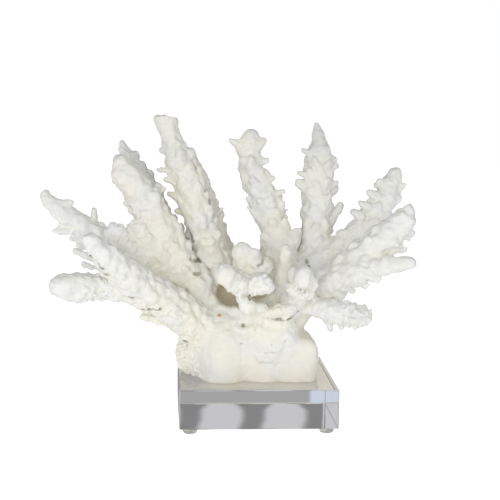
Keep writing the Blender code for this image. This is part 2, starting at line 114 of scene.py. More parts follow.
# Side twigs of the branches: root, tip, root radius and tip radius.
TWIGS = {
    "left_outer": [
        ((-106, -2, 92), (-106, -2, 108.5), 3.2, 2), ((-122, -5, 102), (-132, -8, 96), 3.4, 2.1),
        ((-112, -6, 98), (-121, -12, 91), 4, 1.8), ((-106, -6, 93), (-116, -12, 87), 3.8, 1.8),
    ],
    "left_front": [
        ((-86, -36, 74), (-116, -34, 86), 4, 1.4), ((-80, -38, 70), (-110, -38, 78), 3.4, 1.4),
        ((-48, -18, 40), (-75, -22, 42), 5.2, 2.6),
    ],
    "left_tall": [((-84, -12, 129), (-92, -13, 129), 4, 2), ((-70, -8, 118), (-64, -6, 126), 4.4, 2)],
    "left_tall_rear": [((-84, 21, 139), (-80, 21, 144), 3.4, 1.7)],
    "centre_tall": [
        ((-54, 9, 148), (-62, 8, 148), 3.6, 2.2), ((-51, 9, 134), (-65, 7, 135), 3.2, 1.8),
        ((-42, 9, 111), (-52, 8, 113), 3.4, 1.2),
    ],
    "centre_tall_rear": [((-30, 24, 100), (-22, 20, 108), 3.4, 1.3)],
    "right_tall": [
        ((-3, 24, 146), (-16, 24, 154), 5.4, 1.4), ((-1, 24, 147), (6, 24, 154), 4.4, 1.4),
        ((5, 18, 104), (-4, 17, 109), 4, 1.4), ((9, 22, 113), (18, 23, 117), 4, 2.2),
        ((14, 21, 102), (23, 23, 108), 4, 1.8),
    ],
    "right_pointed": [
        ((47, 26, 92), (60, 29, 110), 5.4, 2.8), ((42, 29, 122), (31, 28, 127), 3.6, 1.8),
        ((47, 29, 114), (57, 30, 122), 4.4, 2.2), ((46, 24, 86), (55, 26, 93), 4.2, 1.6),
    ],
    "right_upper": [
        ((90, 21, 122), (83.5, 20, 125), 4, 2.5), ((92, 21, 117), (102, 22, 125), 3.6, 1.5),
        ((82, 19, 109), (77.5, 18, 114), 4, 2.6),
    ],
    "right_front": [
        ((86, -30, 99), (98, -30, 98), 4.4, 2), ((80, -29, 92), (95, -30, 88), 4.4, 1.6),
        ((54, -20, 60), (49, -22, 38), 5.6, 1.6),
    ],
    "front_top": [((-6, -36, 72), (1, -41, 79), 5.4, 4.6)],
}

# The foot's lumps: middle as x, y and height, and half sizes.
FOOT_LUMPS = [
    ((-25, -12, 8), (13, 23, 25)), ((-6, -6, 10), (22, 22, 24)), ((8, -10, 5), (12, 22, 14)),
    ((26, -11, 8), (14, 22, 17)), ((-2, 14, 14), (34, 22, 26)), ((-32, 2, 14), (20, 18, 21)),
    ((-30, -2, 32), (19, 18, 18)), ((-2, -2, 34), (27, 22, 28)), ((11.5, -4, 34), (17.5, 19, 24)),
    ((6, -20, 22), (15, 12, 26)), ((12, -27, 45), (12, 8, 5)), ((7, -28, 33), (11, 6, 4.5)),
    ((7, -29, 23), (10, 5, 4)), ((23, -24, 52), (8, 9, 6)),
]
# Lumps in its front, and a block on its right with the rounding of its edges.
FOOT_FRONT = [
    ((-20, -10, 12), (15.5, 24, 34)), ((4, -8, 14), (20, 22, 34)), ((19, -14, 31), (8.5, 17, 11)),
]
FOOT_SHOULDER = ((27, -10.5, 10.5), (12, 20, 17), 6)
SHOULDER_BLEND = 6.0
FOOT = "coral_foot"
TUBE_SPACING = 6.0  # between the points of a branch's path
TUBE_INSET = 1.1  # the scales' tube is this much thinner than the branch
INSET_STEP = 6.0  # over which a bare tip gets its full thickness
TUBE_REACH = 9.0  # how far from a branch its distances are worked out
BRANCH_BLEND = 3.5  # the fillet where branches meet
TWIG_BLEND = 2.0  # and where a twig meets its branch
LUMP_BLEND = 7.0
SAMPLES_PER_STEP = 4  # of a path's smooth curve

# The scales of a branch: spacing along and around it, length, lift, root and tip radius, thickness over
# width, how softly they join, and how far from the tip they have their full height.
TALL_SCALES = {"along": 7.4, "around": 7, "length": (2.8, 6), "lift": (0.5, 3.3), "root": (3.4, 4.9),
               "tip": (2.2, 3.3), "flat": 0.68, "blend": 2.8, "grown": 26.0}
LOW_SCALES = {"along": 5.6, "around": 5.4, "length": (1.4, 4), "lift": (0.3, 2), "root": (2.4, 3.6),
              "tip": (1.6, 2.5), "flat": 0.78, "blend": 2.4, "grown": 8.0}
LOW_BRANCHES = {
    "left_low", "left_front", "left_short_low", "left_short_high", "right_low", "right_side",
    "rear_centre_low", "rear_left_low", "rear_right_low",
}
FEWEST_AROUND = 5  # scales in a ring round a branch
SCALE_TURN = 0.22  # of a scale out of its even place in the ring, in radians
SCALE_SLIDE = 0.35  # and along the branch, over the spacing
ROOT_SINK, TIP_SINK = 0.9, 0.5  # how deep its ends sit, over their thickness
BURIED = 1.2  # a scale whose tip would be deeper than this is left out
# The length without scales at a tip: of most branches, of the front twigs, and of those with their own.
SMOOTH_TIP, FRONT_TIP = 14, 90
SMOOTH_TIPS = {
    "left_outer": 40, "left_tall": 15, "left_short_low": 3, "left_short_high": 3, "centre_tall": 16,
    "right_tall": 15, "right_pointed": 18, "right_upper": 12, "right_front": 18, "right_side": 16,
    "right_low": 2,
}

# Teeth that stand out from the branches' sides, in the same way.
SPURS = [
    ((-115, -3, 100), (-117.5, -3, 104.5), 4.5, 3.6), ((-129, -5, 112.5), (-121.5, -5, 114.3), 4, 1.8),
    ((-125, -6, 104), (-130, -6, 107.5), 5, 4.4), ((-119, -6, 96.5), (-129, -8, 95.5), 3, 2.4),
    ((-112, -8, 92), (-119, -10, 90.5), 3.2, 1.8), ((-108, -8, 87), (-114, -10, 85.5), 3, 2),
    ((-86, -12, 138), (-90.5, -12, 143), 5.5, 3.2), ((-86, -10, 145), (-88.5, -10, 149), 3.6, 1.8),
    ((-80, -8, 117), (-85.5, -9, 114.5), 3.4, 2.1), ((-77, -8, 112), (-82.5, -9, 109), 3.2, 1.9),
    ((-66, -4, 124), (-61.5, -4, 123), 3.6, 2.1), ((-53, 10, 127), (-59.5, 9, 128.5), 3.2, 1.8),
    ((-50, 12, 116), (-57, 11, 118.5), 3.4, 2), ((-45, 12, 106), (-52, 11, 107.5), 3.2, 2),
    ((-50, 10, 140), (-44.5, 10, 146), 6.5, 4.4), ((6, 18, 127), (12, 18, 129.5), 3.4, 2),
    ((12, 18, 118), (18.5, 18, 120.5), 3.6, 2.1), ((2, 22, 139), (8, 22, 141), 3.2, 2),
    ((26, 13, 88), (29, 14, 94), 6, 3), ((40, 28, 145), (34, 28, 148), 3.2, 1.8),
    ((38, 26, 131), (31, 26, 132.5), 3.2, 1.8), ((37, 26, 121), (30, 26, 124.5), 3.6, 2.1),
    ((50, 28, 133), (57, 28, 137.5), 3.6, 2), ((49, 27, 123), (57, 27, 126), 3.2, 1.8),
    ((82, 16, 118), (77.5, 16, 120.5), 3.8, 2.4), ((76, 12, 111), (71.5, 12, 113.5), 3.8, 2.4),
    ((71, 10, 105), (66.5, 10, 107.5), 3.8, 2.4), ((90, 18, 125), (84.5, 18, 128), 3.6, 2.4),
    ((86, -30, 97), (95.5, -30, 95.5), 3.6, 2), ((83, -30, 91), (92.5, -30, 86.5), 4.4, 2),
    ((70, -36, 71), (76, -36, 69), 3.2, 2.1), ((63, -32, 67), (69, -32, 64), 3.6, 1.8),
    ((57, -26, 62), (62, -26, 59.5), 3.6, 1.8), ((45, -24, 43), (47.5, -26, 34.5), 3.6, 2.1),
    ((51, -30, 43), (54, -30, 36), 3, 1.8),
]
SPUR_BLEND = 1.6

# Knobs on the foot and the front twigs: middle and half sizes.
KNOBS = [
    ((-11.5, -39, 86.5), (6.2, 6, 6.6)), ((-22.5, -54, 74.3), (6.8, 6.4, 7)),
    ((-3, -42, 80), (4.6, 4.4, 4.2)), ((-4.5, -39, 85), (4.2, 4.6, 4.2)), ((4, -37, 77), (4.4, 4.4, 5.4)),
    ((-1, -63, 70), (7.2, 6.6, 5.2)), ((-6.5, -62, 67.5), (3.2, 3.6, 3.2)),
    ((4.5, -62, 67.5), (3.2, 3.4, 3.2)), ((-9, -48, 67), (6.6, 8, 5.4)), ((-2, -59, 67), (6, 6, 3.2)),
    ((-12, -43, 57), (3.4, 3.6, 3)), ((-7, -42, 52), (6.4, 5, 4.2)), ((0, -39.5, 51.5), (6, 5, 3.8)),
    ((5, -34, 47.5), (5.2, 4.6, 3.8)), ((12, -34, 48.5), (5.4, 4.8, 4.2)),
    ((19.5, -33, 49.5), (5.6, 4.8, 4.6)), ((26, -59, 74), (4.8, 5.2, 7.2)), ((20, -47, 73), (4, 4.2, 5.4)),
    ((20.5, -50, 65.5), (4.2, 4.2, 4)), ((25, -50, 61.5), (4.2, 4, 3.4)), ((30.5, -46, 61), (3.8, 3.6, 4)),
    ((32.5, -46, 68.5), (3.4, 3.8, 4.4)), ((16.5, -33, 85), (4, 4, 6.2)),
]
# Crumbs along the foot's left edge: x, height and radius.
CRUMBS = [
    (-49.5, 21.5, 1.9), (-47, 17.5, 1.7), (-48.5, 14, 1.8), (-45.5, 11, 1.9), (-44, 15.5, 1.5),
    (-42.5, 8, 1.7), (-40.5, 12, 1.5), (-40, 4.5, 1.8), (-37.5, 8.5, 1.6), (-36.5, 3, 1.6),
    (-46, 24, 1.6), (-42, 20, 1.5),
]
# Crumbs down its right edge: height and radius, and the x and y of them all.
EDGE_CRUMBS = [(20.5, 1.2), (17.2, 1.4), (13.6, 1.5), (10.4, 1.3), (7.4, 1.1)]
EDGE_CRUMBS_AT = (39.8, -20)
KNOB_BLEND = 1.6
CRUMB_BLEND = 0.6  # of crumbs and grains
POCKET_BLEND = 1.0

# Scalloped ledges on the foot's front: the lowest point as x and height, and the width.
SCALLOPS = [
    (11, 38, 15), (9, 33, 22), (9, 27.5, 21), (7, 22, 17), (5, 15.5, 10), (-8, 27, 9), (-9, 33.5, 10),
]
SCALLOP_TURNS = (math.radians(200), math.radians(340))  # where its arc starts and ends
SCALLOP_POINTS = 9
SCALLOP_DROP = 0.3  # how far a scallop hangs down, over its width
SCALLOP_RADIUS = 1.7
SCALLOP_LIFT = 0.9  # of its crest over the surface
SCALLOP_GROOVE = 0.55  # the radius of the line beneath it
SCALLOP_BLEND = 1.2

# Clefts cut in the front and darkened with painted shade: points as x and height, and radius.
CLEFTS = [
    ([(6, 44), (11, 42.5), (17, 42), (22, 44), (25, 47)], 1), ([(-13, 49), (-10, 46.5), (-6, 47)], 1.1),
    ([(-9.5, 37), (-9, 36)], 0.9), ([(-2.5, 78.5), (0.5, 79.5), (1.6, 82.5)], 0.65),
    ([(34, 76), (36, 70), (34, 64)], 0.9), ([(-43.5, 96), (-41.5, 88)], 1),
    ([(-43, 78.2), (-41.5, 77.5), (-40, 76.7), (-38.2, 75.7), (-36.5, 74.8)], 1.1),
    ([(-41, 68.6), (-39.3, 68.3), (-37.5, 68.2)], 1), ([(-41, 138.5), (-40.5, 136)], 0.8),
    ([(-34.5, 124), (-34, 121)], 0.8), ([(-31, 116), (-30.5, 113)], 0.7),
    ([(-74, 49), (-69, 50), (-63, 50)], 0.9), ([(-84, 59.5), (-79, 58.5)], 0.9),
    ([(-50, 25), (-46, 25.5)], 1.1), ([(-109, 90.5), (-105, 86.5)], 1), ([(-101, 81), (-98, 79)], 0.9),
    ([(-97, 75), (-94, 73)], 0.8),
]
SPECKS = [((-24.6, 42.5), 1.1)]  # brown specks in the front: x and height, and radius

# Rough places: middle, reach and the grains' radii.
ROUGH = [
    ((-42, -8, 14), 13, (0.9, 1.7)), ((-38, -12, 4), 9, (0.9, 1.6)), ((-14, -50, 66), 9, (0.8, 1.4)),
    ((-3, -58, 62.5), 8, (0.8, 1.4)), ((-1, -66, 69), 8, (0.8, 1.4)), ((22, -50, 64), 9, (0.8, 1.5)),
    ((33, -46, 66), 6, (0.8, 1.3)), ((43, -6, 13), 7, (0.7, 1.2)), ((4, -38, 77), 6, (0.7, 1.1)),
    ((14, -34, 45), 8, (0.7, 1.1)), ((-6, -40, 53), 7, (0.7, 1.2)), ((-88, -34, 74), 12, (0.7, 1.3)),
    ((-80, -36, 52), 12, (0.7, 1.3)), ((-46, -16, 30), 14, (0.8, 1.5)), ((62, -39, 45), 11, (0.8, 1.4)),
    ((-92, -24, 96), 9, (0.7, 1.2)), ((-76, -18, 98), 8, (0.7, 1.2)), ((-100, -44, 72), 12, (0.7, 1.2)),
    ((-104, -46, 57), 13, (0.8, 1.4)), ((-62, -28, 44), 13, (0.8, 1.3)), ((-86, -13, 118), 10, (0.7, 1.3)),
    ((70, -36, 68), 12, (0.7, 1.2)), ((92, -31, 92), 9, (0.8, 1.4)),
]
GRAIN_SPACING = 2.08
# The surface's unevenness as size and depth: under the scales, and over everything.
SWELLS = [(4.3, 0.7), (8.7, 1.0), (17.0, 1.0)]
GRAIN = [(2.1, 0.6), (4.3, 0.6)]
GRAIN_REACH = 4.0  # how far from the surface it ends
CALM_HEIGHTS = (24, 42)  # the foot is calmer below these
CALM_SWELLS, CALM_GRAIN = 0.6, 0.35
POCKET_CALM = 0.8  # how much of it the shaded hollows lose
LATTICE = 64  # cells of the noise before it repeats

# How far the painted shade of the hollows and clefts, and the brown of the specks, fade out.
POCKET_SHADE_FADE = 3.0  # how far outside a shaded hollow its brown ends
CLEFT_FADE = 1.0
CLEFT_DEPTH = 0.4  # of its middle line under the surface
CLEFT_SHARE = 0.8  # its cut over the radius given
CLEFT_BLEND = 0.5
# The shares of solid round a point paint shade into the coral's creases and hollows.
HOLLOW_REACH, CREASE_REACH = 4, 2  # half the boxes in which the share of solid is taken, in voxels

SEAM_SLOPE = 0.35  # how fast a piece sinks beneath its neighbour past their seam
SEAM_OVERLAP = 4.0  # how far past the seam it ends


def smooth_path(points, spacing):
    """Points with radii every spacing or so, on a smooth curve through the given ones."""
    rows = np.array([points[0], *points, points[-1]], float)
    fine = []
    for p0, p1, p2, p3 in zip(rows, rows[1:], rows[2:], rows[3:]):
        steps = max(2, round(SAMPLES_PER_STEP * np.linalg.norm((p2 - p1)[:3]) / spacing))
        t = np.arange(steps)[:, None] / steps
        fine.append(0.5 * (2 * p1 + (p2 - p0) * t + (2 * p0 - 5 * p1 + 4 * p2 - p3) * t ** 2
                           + (3 * p1 - p0 - 3 * p2 + p3) * t ** 3))
    fine = np.vstack(fine + [rows[-1:]])
    lengths = np.concatenate([[0], np.cumsum(np.linalg.norm(np.diff(fine[:, :3], axis=0), axis=1))])
    wanted = np.linspace(0, lengths[-1], max(3, round(lengths[-1] / spacing)) + 1)
    return np.stack([np.interp(wanted, lengths, column) for column in fine.T], axis=1)


def length_left(path):
    """The length from each point of a path to its tip."""
    steps = np.linalg.norm(np.diff(path[:, :3], axis=0), axis=1)
    return np.append(np.cumsum(steps[::-1])[::-1], 0)


def unit(vector):
    return vector / np.linalg.norm(vector)


class Grid:
    """A regular grid over the coral."""

    def __init__(self, low, high):
        self.low = np.floor(np.array(low) / VOXEL) * VOXEL
        self.shape = tuple(np.ceil((np.array(high) - self.low) / VOXEL).astype(int) + 1)

    def region(self, low, high):
        """The slices between two corners."""
        first = np.clip(np.floor((np.array(low) - self.low) / VOXEL).astype(int), 0, None)
        last = np.clip(np.ceil((np.array(high) - self.low) / VOXEL).astype(int) + 1, 1, self.shape)
        return tuple(slice(a, max(a + 1, b)) for a, b in zip(first, last))

    def axes(self, region):
        """The coordinates along x, y and z, shaped to broadcast over the region."""
        x, y, z = ((low + VOXEL * np.arange(s.start, s.stop)).astype(np.float32)
                   for low, s in zip(self.low, region))
        return x[:, None, None], y[None, :, None], z[None, None, :]

    def at(self, points):
        """The grid index nearest to each point."""
        index = np.rint((points - self.low) / VOXEL).astype(int)
        return tuple(np.clip(index, 0, np.array(self.shape) - 1).T)


GRID = Grid(FIELD_LOW, FIELD_HIGH)


def smooth_min(a, b, width):
    """The lower of two distances, with a fillet of this width where they meet."""
    share = np.clip(0.5 + 0.5 * (b - a) / width, 0, 1)
    return b + (a - b) * share - width * share * (1 - share)


def cone_distance(axes, start, end, start_radius, end_radius, across=None, flat=1.0):
    """Distance to a cone with round ends, whose thickness along the vector across is flat times its width."""
    x, y, z = (axis - value for axis, value in zip(axes, start))
    line = end - start
    t = np.clip((x * line[0] + y * line[1] + z * line[2]) / (line @ line), 0, 1)
    x, y, z = x - t * line[0], y - t * line[1], z - t * line[2]
    square = x * x + y * y + z * z
    if across is not None:
        depth = x * across[0] + y * across[1] + z * across[2]
        square = square + (1 / flat ** 2 - 1) * depth * depth
    return np.sqrt(square) - (start_radius + t * (end_radius - start_radius))


def lump_distance(axes, middle, half_sizes):
    """Distance to an ellipsoid, nearly."""
    offsets = [axis - value for axis, value in zip(axes, middle)]
    near = np.sqrt(sum((o / h) ** 2 for o, h in zip(offsets, half_sizes)))
    steep = np.sqrt(sum((o / h ** 2) ** 2 for o, h in zip(offsets, half_sizes)))
    return near * (near - 1) / np.maximum(steep, 1e-6)


def block_distance(axes, middle, half_sizes, rounding):
    """Distance to a box with rounded edges."""
    offsets = [np.abs(axis - value) - half + rounding
               for axis, value, half in zip(axes, middle, half_sizes)]
    outside = np.sqrt(sum(np.maximum(o, 0) ** 2 for o in offsets))
    deepest = np.maximum(np.maximum(offsets[0], offsets[1]), offsets[2])
    return outside + np.minimum(deepest, 0) - rounding


def bare_length(name):
    return FRONT_TIP if name.startswith("front_") else SMOOTH_TIPS.get(name, SMOOTH_TIP)


def branch_distance(name):
    """The region near one branch and its distances there: its tube, its twigs and its flat tip."""
    path = smooth_path(BRANCHES[name], TUBE_SPACING)
    left = length_left(path)
    path[:, 3] -= TUBE_INSET * np.clip((left - bare_length(name)) / INSET_STEP, 0, 1)
    twigs = TWIGS.get(name, [])
    reach = path[:, 3:].max() + TUBE_REACH
    points = np.vstack([path[:, :3]] + [np.array(twig[:2]) for twig in twigs])
    region = GRID.region(points.min(0) - reach, points.max(0) + reach)
    low = np.array([s.start for s in region])
    distance = np.full([s.stop - s.start for s in region], FAR, np.float32)

    def lower(start, end, start_radius, end_radius, width=0.0):
        room = max(start_radius, end_radius) + TUBE_REACH
        near = GRID.region(np.minimum(start, end) - room, np.maximum(start, end) + room)
        inner = tuple(slice(s.start - o, s.stop - o) for s, o in zip(near, low))
        found = cone_distance(GRID.axes(near), start, end, start_radius, end_radius)
        if width:
            distance[inner] = smooth_min(distance[inner], found, width)
        else:
            distance[inner] = np.minimum(distance[inner], found)

    for a, b in zip(path, path[1:]):
        lower(a[:3], b[:3], a[3], b[3])
    for root, tip, root_radius, tip_radius in twigs:
        lower(np.array(root, float), np.array(tip, float), root_radius, tip_radius, TWIG_BLEND)
    if name in FLAT_TIPS:
        end, forward = path[-1][:3], unit(path[-1][:3] - path[-2][:3])
        x, y, z = (axis - value for axis, value in zip(GRID.axes(region), end))
        distance = np.maximum(distance, x * forward[0] + y * forward[1] + z * forward[2])
    return region, distance


def foot_distance():
    """The region near the foot and its distances there."""
    middles = np.array([row[0] for row in FOOT_LUMPS + FOOT_FRONT], float)
    halves = np.array([row[1] for row in FOOT_LUMPS + FOOT_FRONT], float)
    region = GRID.region((middles - halves).min(0) - TUBE_REACH, (middles + halves).max(0) + TUBE_REACH)
    axes = GRID.axes(region)
    distance = np.full([s.stop - s.start for s in region], FAR, np.float32)
    for middle, half in zip(middles, halves):
        distance = smooth_min(distance, lump_distance(axes, middle, half).astype(np.float32), LUMP_BLEND)
    shoulder = block_distance(axes, *FOOT_SHOULDER).astype(np.float32)
    return region, smooth_min(distance, shoulder, SHOULDER_BLEND)


def add_shape(field, low, high, blend, distance):
    """Blends a shape into the field, worked out only between two corners."""
    near = GRID.region(np.array(low) - blend - 1, np.array(high) + blend + 1)
    field[near] = smooth_min(field[near], distance(GRID.axes(near)), blend)


def add_tongue(field, start, end, radii, blend, across=None, flat=1.0):
    """A flattened cone with round ends, blended into the field."""
    reach = max(radii)
    low, high = np.minimum(start, end) - reach, np.maximum(start, end) + reach
    add_shape(field, low, high, blend,
              lambda axes: cone_distance(axes, start, end, *radii, across, flat))


def add_crumb(field, place, stretch, radius):
    """A small ball, drawn out a little by the stretch."""
    add_tongue(field, place, place + stretch, (radius, radius), CRUMB_BLEND)


def cut_line(field, start, end, radius):
    """Cuts a round groove out of the field."""
    near = GRID.region(np.minimum(start, end) - radius - 2, np.maximum(start, end) + radius + 2)
    cut = cone_distance(GRID.axes(near), start, end, radius, radius)
    field[near] = -smooth_min(-field[near], cut, CLEFT_BLEND)


def ring_of_scales(look, middle, radius, forward, angles, height, draw):
    """The start, end, radii and outward direction of each scale in a ring round a branch."""
    side = unit(np.cross(forward, (0.3, 1, 0.2)))
    other = np.cross(forward, side)
    for angle in angles:
        angle += draw.uniform(-SCALE_TURN, SCALE_TURN)
        along = draw.uniform(-SCALE_SLIDE, SCALE_SLIDE) * look["along"]
        length, lift = draw.uniform(*look["length"]), height * draw.uniform(*look["lift"])
        radii = draw.uniform(*look["root"]), draw.uniform(*look["tip"])
        out = side * math.cos(angle) + other * math.sin(angle)
        surface = middle + forward * along + out * radius
        start = surface - out * radii[0] * look["flat"] * ROOT_SINK
        end = surface + forward * length + out * (lift - radii[1] * look["flat"] * TIP_SINK)
        yield start, end, radii, out


def grow_scales(field, draw):
    """Grows the scales of every branch on the field."""
    smooth = field.copy()
    for name in BRANCHES:
        look = LOW_SCALES if name in LOW_BRANCHES else TALL_SCALES
        path = smooth_path(BRANCHES[name], look["along"])
        left = length_left(path)
        turn = draw.uniform(0, math.tau)
        for index in range(1, len(path) - 1):
            if left[index] < bare_length(name):
                continue
            radius = path[index][3] - TUBE_INSET
            forward = unit(path[index + 1][:3] - path[index - 1][:3])
            around = max(FEWEST_AROUND, round(math.tau * radius / look["around"]))
            height = min(1, left[index] / look["grown"])
            turn += math.pi / around
            angles = [turn + math.tau * step / around for step in range(around)]
            ring = ring_of_scales(look, path[index][:3], radius, forward, angles, height, draw)
            for start, end, radii, out in ring:
                if smooth[GRID.at(end[None])][0] > -BURIED:
                    add_tongue(field, start, end, radii, look["blend"], out, look["flat"])


def front_of(field, x, z):
    """The first solid point from the front at x and height z."""
    i, _, k = (int(c) for c in np.rint((np.array((x, 0, z)) - GRID.low) / VOXEL))
    first = np.argmax(field[i, :, k] < 0)
    return np.array((x, GRID.low[1] + VOXEL * first, z))


def dig_pockets(field):
    """Digs the shaded hollows."""
    for middle, half in POCKETS:
        near = GRID.region(np.array(middle) - half - 2.0, np.array(middle) + half + 2.0)
        hollow = lump_distance(GRID.axes(near), middle, half)
        field[near] = -smooth_min(-field[near], hollow, POCKET_BLEND)


def add_knobs(field):
    """Adds the knobs, then the crumbs."""
    for middle, half in KNOBS:
        middle, half = np.array(middle, float), np.array(half, float)
        add_shape(field, middle - half, middle + half, KNOB_BLEND,
                  lambda axes: lump_distance(axes, middle, half))
    for x, z, radius in CRUMBS:
        add_crumb(field, front_of(field, x, z), (0.1, 0, 0), radius)
    for z, radius in EDGE_CRUMBS:
        add_crumb(field, np.array((*EDGE_CRUMBS_AT, z)), (0, 0.1, 0), radius)


def add_scallops(field):
    """Adds the scalloped ledges, and returns the lines of the grooves beneath them."""
    grooves = []
    for x, z, width in SCALLOPS:
        turns = np.linspace(*SCALLOP_TURNS, SCALLOP_POINTS)
        across, down = x + width / 2 * np.cos(turns), z + width * SCALLOP_DROP * (1 + np.sin(turns))
        crest = [front_of(field, *place) + (0, SCALLOP_RADIUS - SCALLOP_LIFT, 0)
                 for place in np.stack([across, down], axis=1)]
        grooves.append([point + (0, -0.2, -SCALLOP_RADIUS) for point in crest])
        for start, end in pairwise(crest):
            add_tongue(field, start, end, (SCALLOP_RADIUS, SCALLOP_RADIUS), SCALLOP_BLEND)
    return [(start, end, SCALLOP_GROOVE) for groove in grooves for start, end in pairwise(groove)]


def cleft_lines(field):
    """The pieces of the clefts' lines just under the surface, with their radii."""
    found = []
    for points, radius in CLEFTS:
        line = [front_of(field, x, z) + (0, CLEFT_DEPTH, 0) for x, z in points]
        found += [(start, end, radius * CLEFT_SHARE) for start, end in pairwise(line)]
    return found


def add_front_details(field, draw):
    """Hollows, knobs, crumbs, scalloped ledges and clefts in the front, then grains on the rough places.

    Returns the clefts' and the specks' places, with their radii.
    """
    dig_pockets(field)
    add_knobs(field)
    grooves = add_scallops(field)
    clefts = cleft_lines(field)
    specks = [(front_of(field, *place), radius) for place, radius in SPECKS]
    for line in clefts + grooves:
        cut_line(field, *line)
    for middle, reach, sizes in ROUGH:
        add_grains(field, np.array(middle, float), reach, sizes, draw)
    return clefts, specks


def add_grains(field, middle, reach, sizes, draw):
    """Scatters grains over the surface round a point."""
    near = GRID.region(middle - reach, middle + reach)
    found = np.argwhere(np.abs(field[near]) < VOXEL / 2) + [s.start for s in near]
    places = GRID.low + VOXEL * found
    places = places[np.linalg.norm(places - middle, axis=1) < reach]
    draw.shuffle(places)
    kept = []
    for place in places:
        if all(np.abs(place - other).max() > GRAIN_SPACING for other in kept):
            kept.append(place)
    for place in kept:
        add_crumb(field, place, (0, 0, 0.1), draw.uniform(*sizes))


def box_share(mask, reach):
    """The share of solid in a box round each voxel."""
    share = mask.astype(np.float32)
    width = 2 * reach + 1
    for axis in range(3):
        share = np.moveaxis(share, axis, 0)
        padded = np.pad(share, [(reach + 1, reach), (0, 0), (0, 0)], mode="edge")
        total = np.cumsum(padded, axis=0, dtype=np.float32)
        share = np.moveaxis((total[width:] - total[:-width]) / width, 0, axis)
    return share


def lattice_noise(points, size, seed):
    """Smooth noise between -1 and 1 on a repeating random lattice."""
    lattice = np.random.default_rng(seed).uniform(-1, 1, (LATTICE, LATTICE, LATTICE)).astype(np.float32)
    cell = points / size
    base = np.floor(cell).astype(int)
    share = cell - base
    share = share * share * (3 - 2 * share)
    total = 0
    for corner in product((0, 1), repeat=3):
        weight = np.prod(np.where(corner, share, 1 - share), axis=1)
        index = (base + corner) % LATTICE
        total = total + weight * lattice[index[:, 0], index[:, 1], index[:, 2]]
    return total


def roughen(field, waves, calm, seed):
    """Adds smooth noise to the field near its surface, and only calm times as much low on the foot."""
    band = np.argwhere(np.abs(field) < GRAIN_REACH)
    places = GRID.low + VOXEL * band
    noise = sum(depth * lattice_noise(places, size, seed + i) for i, (size, depth) in enumerate(waves))
    noise *= np.interp(places[:, 2], CALM_HEIGHTS, (calm, 1))
    noise *= np.clip(GRAIN_REACH - np.abs(field[tuple(band.T)]), 0, 1)
    noise *= 1 - POCKET_CALM * hollow_shade(places, [1.0] * len(POCKETS))
    field[tuple(band.T)] += noise.astype(np.float32)


def cell_points(values, low, cells):
    """One vertex to each crossed cell: the middle of the zeros along its edges."""
    corners = list(product((0, 1), repeat=3))
    at_corner = {corner: values[tuple((cells + corner).T)] for corner in corners}
    total = np.zeros((len(cells), 3))
    crossings = np.zeros(len(cells))
    for axis, start in product(range(3), corners):
        if start[axis]:
            continue
        end = tuple(1 if i == axis else c for i, c in enumerate(start))
        a, b = at_corner[start], at_corner[end]
        crossed = (a < 0) != (b < 0)
        point = cells[crossed] + np.array(start, float)
        point[:, axis] += a[crossed] / (a[crossed] - b[crossed])
        total[crossed] += point
        crossings[crossed] += 1
    return low + VOXEL * total / crossings[:, None]


def cell_quads(inside, number):
    """A quad round each grid line where it passes through the surface, facing outwards."""
    quads = []
    for axis in range(3):
        u, v = np.eye(3, dtype=int)[(axis + 1) % 3], np.eye(3, dtype=int)[(axis + 2) % 3]
        first = [slice(1, -1)] * 3
        first[axis] = slice(0, -1)
        second = [slice(1, -1)] * 3
        second[axis] = slice(1, None)
        here, there = inside[tuple(first)], inside[tuple(second)]
        offset = np.array([0 if i == axis else 1 for i in range(3)])
        for leaving in (True, False):
            found = np.argwhere((here != there) & (here == leaving)) + offset
            ring = [found - u - v, found - v, found, found - u]
            rows = [number[tuple(cell.T)] for cell in (ring if leaving else ring[::-1])]
            quads.append(np.stack(rows, axis=1))
    return np.vstack(quads)


def surface_of(values, low):
    """The surface where the values cross zero, as vertices and quads."""
    inside = values < 0
    count = np.zeros([n - 1 for n in values.shape], np.int8)
    for corner in product((0, 1), repeat=3):
        count += inside[tuple(slice(c, n - 1 + c) for c, n in zip(corner, values.shape))]
    cells = np.argwhere((count > 0) & (count < 8))
    number = np.full(count.shape, -1, np.int32)
    number[tuple(cells.T)] = np.arange(len(cells))
    return cell_points(values, low, cells), cell_quads(inside, number)


def fading(points, distances, fade):
    """1 at the points inside any of the shapes, falling to 0 at fade outside, from functions of axes."""
    nearest = np.full(len(points), FAR)
    for distance in distances:
        nearest = np.minimum(nearest, distance(points.T))
    return np.clip(1 - nearest / fade, 0, 1)


def hollow_shade(points, shades):
    """How much tan painted shade each point gets from the hollows: a hollow's own amount in it, and none far
    away.
    """
    rows = [shade * fading(points, [lambda axes, p=pocket: lump_distance(axes, *p)], POCKET_SHADE_FADE)
            for pocket, shade in zip(POCKETS, shades)]
    return np.max(rows, axis=0)


def shade_and_specks_at(points, clefts, specks):
    """The tan painted shade of the hollows, the dark painted shade of the clefts and the brown of the specks
    at each point.
    """
    lines = [lambda axes, c=cleft: cone_distance(axes, c[0], c[1], c[2], c[2]) for cleft in clefts]
    dots = [lambda axes, s=speck: cone_distance(axes, s[0], s[0] + (0, 0, 0.1), s[1], s[1])
            for speck in specks]
    return {
        "pocket_shade": hollow_shade(points, POCKET_SHADES),
        "cleft": fading(points, lines, CLEFT_FADE),
        "speck": fading(points, dots, CLEFT_FADE),
    }


def largest_part(vertices, quads):
    """Leaves out the crumbs: keeps the connected part with the most vertices."""
    label = np.arange(len(vertices))
    before = None
    while before is None or (label != before).any():
        before = label.copy()
        lowest = label[quads].min(axis=1)
        for column in quads.T:
            np.minimum.at(label, column, lowest)
        label = label[label]
    kept = label == np.bincount(label).argmax()
    number = np.cumsum(kept) - 1
    return vertices[kept], number[quads[kept[quads[:, 0]]]]


def add_object(name, data):
    thing = bpy.data.objects.new(name, data)
    bpy.context.scene.collection.objects.link(thing)
    return thing


